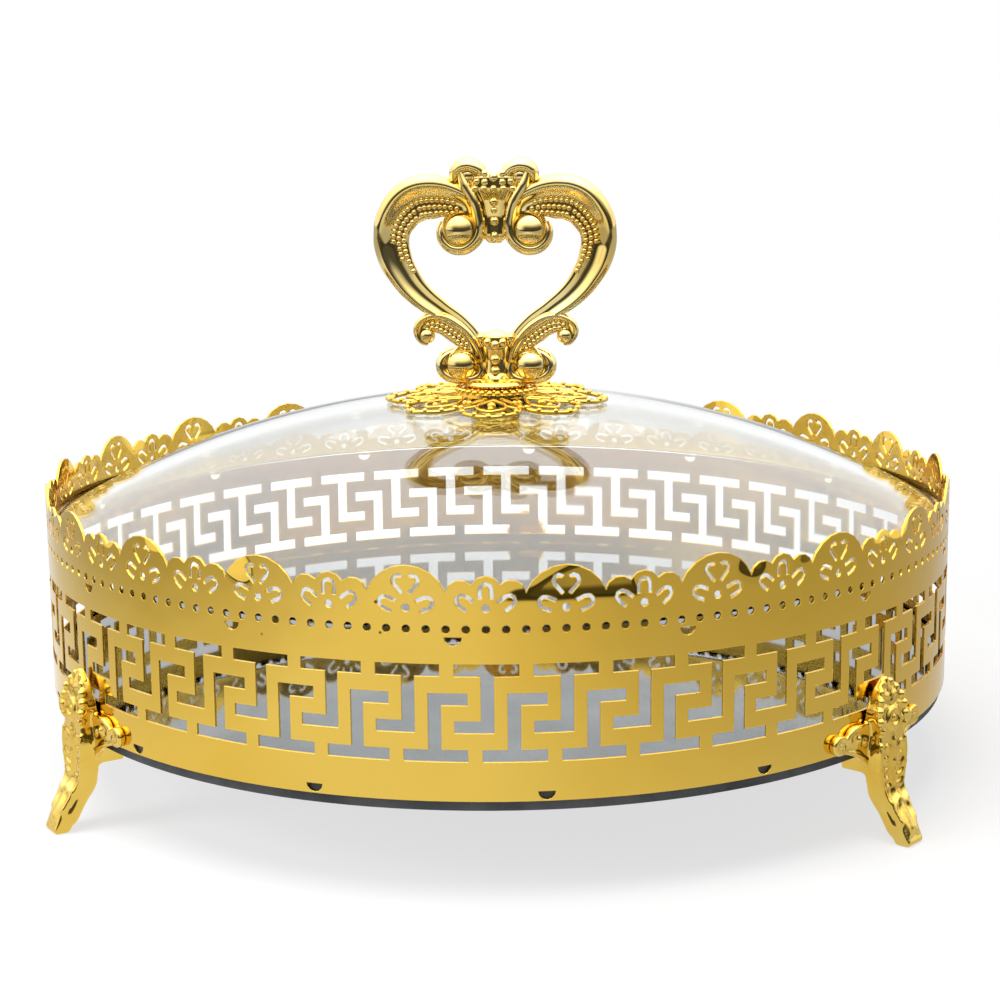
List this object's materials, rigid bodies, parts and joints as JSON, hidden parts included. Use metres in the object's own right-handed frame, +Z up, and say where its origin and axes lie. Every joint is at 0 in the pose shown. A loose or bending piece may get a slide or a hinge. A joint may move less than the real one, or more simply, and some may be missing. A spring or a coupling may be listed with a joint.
{
  "type": "buffet dish",
  "caption": "Round serving dish with a pierced gold gallery on cast feet, a mirror floor, and a clear glass dome lid lifted by a heart-shaped handle.",
  "frame": {"origin": "centre of the serving surface, which is the top face of the mirror floor", "axes": "+Z up along the axis of the dish, -Y towards the front where the pair of feet stands, +X to the right"},
  "size_m": [0.3, 0.315, 0.2005],
  "materials": {
    "gilt_sheet": "polished, gold plated",
    "gilt_casting": "bright cast, gold plated",
    "board": "painted hardboard",
    "mirror": "silvered glass",
    "glass": "clear, ground rim",
    "washer": "soft sheet",
    "steel": "bright steel"
  },
  "bodies": {
    "tray": {"gallery_band": "gilt_sheet", "base_board": "board", "mirror_plate": "mirror", "foot_left": "gilt_casting", "foot_right": "gilt_casting", "foot_back": "gilt_casting", "foot_screws": "steel"},
    "lid": {"glass_lid": "glass", "upper_washer": "washer", "lower_washer": "washer", "ferrule_nut": "gilt_casting", "handle_stud": "steel", "rosette": "gilt_casting", "heart_handle": "gilt_casting"}
  },
  "joints": [
    {"name": "lid_lift", "type": "slide", "parent": "tray", "child": "lid", "axis": [0, 0, 1], "range_m": [0, 0.15]}
  ]
}
